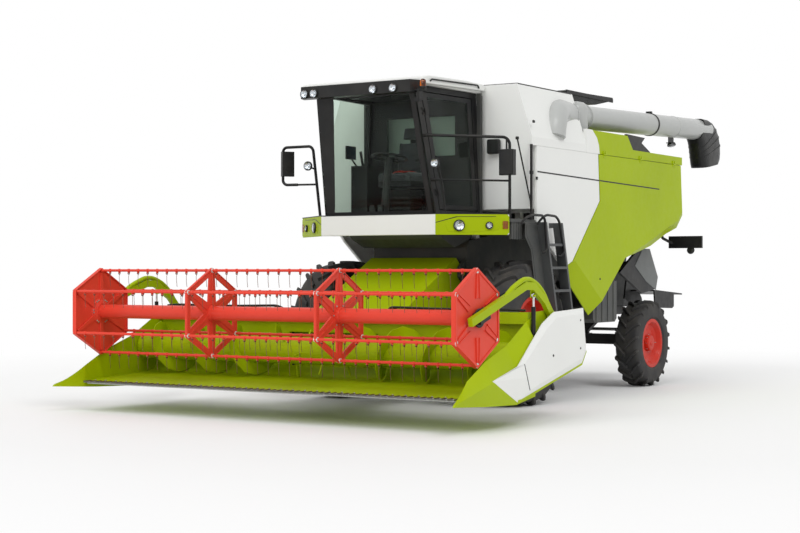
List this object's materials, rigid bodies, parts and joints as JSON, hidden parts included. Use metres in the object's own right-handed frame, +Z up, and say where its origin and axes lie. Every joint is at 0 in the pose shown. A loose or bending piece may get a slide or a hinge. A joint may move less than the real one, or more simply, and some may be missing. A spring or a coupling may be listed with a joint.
{
  "type": "combine harvester",
  "caption": "Wheeled combine harvester with glazed cab, grain tank, unloading auger laid back along its side and a wide raised grain header with a tined reel.",
  "frame": {"origin": "on the ground, under the middle of the bounding box", "axes": "+Z up, the machine faces -Y with its header, +X is its left side"},
  "size_m": [5.24, 9.96, 3.97],
  "materials": {
    "frame_black": "satin",
    "housing_grey": "satin",
    "body_white": "semi-gloss",
    "lime": "semi-gloss",
    "header_white": "semi-gloss",
    "auger_grey": "satin",
    "screen_dark": "matt",
    "side_grey": "satin",
    "reel_red": "semi-gloss",
    "rim_red": "semi-gloss",
    "bare_steel": "brushed",
    "rod_chrome": "polished",
    "engine_iron": "rough",
    "black_plastic": "matt",
    "lamp_pale": "gloss",
    "tinted_glass": "clear, tinted",
    "seat_fabric": "woven",
    "tyre_black": "matt"
  },
  "bodies": {
    "chassis": {"chassis_frame": "frame_black", "front_axle": "frame_black", "rear_axle_beam": "frame_black", "threshing_housing": "housing_grey", "straw_chopper": "frame_black", "engine_block": "engine_iron", "fuel_tank": "black_plastic", "grain_tank": "body_white", "rear_hood": "lime", "cooling_screen": "screen_dark", "cover_front_left": "body_white", "cover_front_right": "body_white", "auger_turret": "frame_black", "platform_deck": "side_grey", "platform_fascia": "body_white", "cab_frame": "frame_black", "cab_glass": "tinted_glass", "cab_roof": "body_white", "roof_visor": "black_plastic", "seat": "seat_fabric", "controls": "black_plastic", "railings": "frame_black", "ladder": "frame_black", "lamps": "lamp_pale", "rear_lamp_boards": "frame_black"},
    "header": {"feeder_house": "lime", "header_table": "lime", "header_sides": "lime", "header_side_covers": "header_white", "knife_bar": "bare_steel"},
    "intake_auger": {"intake_auger": "lime"},
    "reel_arms": {"reel_arms": "lime"},
    "reel_carriage": {"reel_carriage": "frame_black"},
    "reel": {"reel_frame": "reel_red"},
    "lift_barrels": {"lift_barrels": "frame_black"},
    "lift_rods": {"lift_rods": "rod_chrome"},
    "reel_lift_barrels": {"reel_lift_barrels": "frame_black"},
    "reel_lift_rods": {"reel_lift_rods": "rod_chrome"},
    "knuckle_left": {"knuckle_left": "frame_black"},
    "knuckle_right": {"knuckle_right": "frame_black"},
    "tie_rod": {"tie_rod": "bare_steel"},
    "unloading_auger": {"unloading_auger": "auger_grey"},
    "cab_door": {"door_frame": "frame_black", "door_glass": "tinted_glass"},
    "side_cover_left": {"cover_rear_left": "lime"},
    "side_cover_right": {"cover_rear_right": "lime"},
    "bat_1": {"reel_bat_1": "reel_red"},
    "bat_2": {"reel_bat_2": "reel_red"},
    "bat_3": {"reel_bat_3": "reel_red"},
    "bat_4": {"reel_bat_4": "reel_red"},
    "bat_5": {"reel_bat_5": "reel_red"},
    "bat_6": {"reel_bat_6": "reel_red"},
    "wheel_front_left": {"tyre_front_left": "tyre_black", "rim_front_left": "rim_red"},
    "wheel_front_right": {"tyre_front_right": "tyre_black", "rim_front_right": "rim_red"},
    "wheel_rear_left": {"tyre_rear_left": "tyre_black", "rim_rear_left": "rim_red"},
    "wheel_rear_right": {"tyre_rear_right": "tyre_black", "rim_rear_right": "rim_red"}
  },
  "joints": [
    {"name": "header_lift", "type": "hinge", "parent": "chassis", "child": "header", "pos_m": [0, -1.52, 1.56], "axis": [-1, 0, 0], "range_deg": [-4.5, 15]},
    {"name": "auger_spin", "type": "hinge", "parent": "header", "child": "intake_auger", "pos_m": [0, -3.57, 0.7], "axis": [1, 0, 0], "continuous": true},
    {"name": "reel_lift", "type": "hinge", "parent": "header", "child": "reel_arms", "pos_m": [0, -2.92, 1.11], "axis": [-1, 0, 0], "range_deg": [0, 24]},
    {"name": "reel_slide", "type": "slide", "parent": "reel_arms", "child": "reel_carriage", "axis": [0, -0.9536, -0.3009], "range_m": [-0.05, 0.12]},
    {"name": "reel_spin", "type": "hinge", "parent": "reel_carriage", "child": "reel", "pos_m": [0, -4.35, 1.118], "axis": [1, 0, 0], "continuous": true},
    {"name": "bat_1_turn", "type": "hinge", "parent": "reel", "child": "bat_1", "pos_m": [0, -4.35, 1.58], "axis": [1, 0, 0], "continuous": true},
    {"name": "bat_2_turn", "type": "hinge", "parent": "reel", "child": "bat_2", "pos_m": [0, -3.9499, 1.349], "axis": [1, 0, 0], "continuous": true},
    {"name": "bat_3_turn", "type": "hinge", "parent": "reel", "child": "bat_3", "pos_m": [0, -3.9499, 0.887], "axis": [1, 0, 0], "continuous": true},
    {"name": "bat_4_turn", "type": "hinge", "parent": "reel", "child": "bat_4", "pos_m": [0, -4.35, 0.656], "axis": [1, 0, 0], "continuous": true},
    {"name": "bat_5_turn", "type": "hinge", "parent": "reel", "child": "bat_5", "pos_m": [0, -4.7501, 0.887], "axis": [1, 0, 0], "continuous": true},
    {"name": "bat_6_turn", "type": "hinge", "parent": "reel", "child": "bat_6", "pos_m": [0, -4.7501, 1.349], "axis": [1, 0, 0], "continuous": true},
    {"name": "lift_barrel_turn", "type": "hinge", "parent": "chassis", "child": "lift_barrels", "pos_m": [0, -1.455, 0.68], "axis": [-1, 0, 0], "range_deg": [-6, 16]},
    {"name": "lift_rod_slide", "type": "slide", "parent": "lift_barrels", "child": "lift_rods", "axis": [0, -0.9921, -0.1255], "range_m": [-0.08, 0.24]},
    {"name": "reel_lift_barrel_turn", "type": "hinge", "parent": "header", "child": "reel_lift_barrels", "pos_m": [0, -3.31, 0.88], "axis": [-1, 0, 0], "range_deg": [0, 12]},
    {"name": "reel_lift_rod_slide", "type": "slide", "parent": "reel_lift_barrels", "child": "reel_lift_rods", "axis": [0, 0, 1], "range_m": [0, 0.16]},
    {"name": "steer_left", "type": "hinge", "parent": "chassis", "child": "knuckle_left", "pos_m": [0.8, 2.47, 0.63], "axis": [0, 0, 1], "range_deg": [-35, 35]},
    {"name": "steer_right", "type": "hinge", "parent": "chassis", "child": "knuckle_right", "pos_m": [-0.8, 2.47, 0.63], "axis": [0, 0, 1], "range_deg": [-35, 35]},
    {"name": "tie_rod_turn", "type": "hinge", "parent": "knuckle_left", "child": "tie_rod", "pos_m": [0.8, 2.67, 0.758], "axis": [0, 0, 1], "range_deg": [-35, 35]},
    {"name": "wheel_front_left_spin", "type": "hinge", "parent": "chassis", "child": "wheel_front_left", "pos_m": [1.24, -1.27, 0.85], "axis": [1, 0, 0], "continuous": true},
    {"name": "wheel_front_right_spin", "type": "hinge", "parent": "chassis", "child": "wheel_front_right", "pos_m": [-1.24, -1.27, 0.85], "axis": [1, 0, 0], "continuous": true},
    {"name": "wheel_rear_left_spin", "type": "hinge", "parent": "knuckle_left", "child": "wheel_rear_left", "pos_m": [1.145, 2.47, 0.587], "axis": [1, 0, 0], "continuous": true},
    {"name": "wheel_rear_right_spin", "type": "hinge", "parent": "knuckle_right", "child": "wheel_rear_right", "pos_m": [-1.145, 2.47, 0.587], "axis": [1, 0, 0], "continuous": true},
    {"name": "unloader_swing", "type": "hinge", "parent": "chassis", "child": "unloading_auger", "pos_m": [1.19, 0.32, 3.5], "axis": [0, 0, -1], "range_deg": [0, 95]},
    {"name": "cover_left_lift", "type": "hinge", "parent": "chassis", "child": "side_cover_left", "pos_m": [1.465, 1.73, 3.0385], "axis": [0, -1, 0], "range_deg": [0, 75]},
    {"name": "cover_right_lift", "type": "hinge", "parent": "chassis", "child": "side_cover_right", "pos_m": [-1.465, 1.73, 3.0385], "axis": [0, 1, 0], "range_deg": [0, 75]},
    {"name": "cab_door_swing", "type": "hinge", "parent": "chassis", "child": "cab_door", "pos_m": [0.74259, -2.38414, 2.93571], "axis": [0.0617, 0.1969, -0.9785], "range_deg": [0, 40]}
  ],
  "couplings": [
    {"joint": "bat_1_turn", "follows": "reel_spin", "ratio": -1},
    {"joint": "bat_2_turn", "follows": "reel_spin", "ratio": -1},
    {"joint": "bat_3_turn", "follows": "reel_spin", "ratio": -1},
    {"joint": "bat_4_turn", "follows": "reel_spin", "ratio": -1},
    {"joint": "bat_5_turn", "follows": "reel_spin", "ratio": -1},
    {"joint": "bat_6_turn", "follows": "reel_spin", "ratio": -1},
    {"joint": "lift_barrel_turn", "follows": "header_lift", "ratio": 0.9743},
    {"joint": "lift_rod_slide", "follows": "header_lift", "m_per_rad": 0.8797},
    {"joint": "reel_lift_barrel_turn", "follows": "reel_lift", "ratio": 0.4839},
    {"joint": "reel_lift_rod_slide", "follows": "reel_lift", "m_per_rad": 0.369},
    {"joint": "steer_right", "follows": "steer_left", "ratio": 1},
    {"joint": "tie_rod_turn", "follows": "steer_left", "ratio": -1}
  ]
}
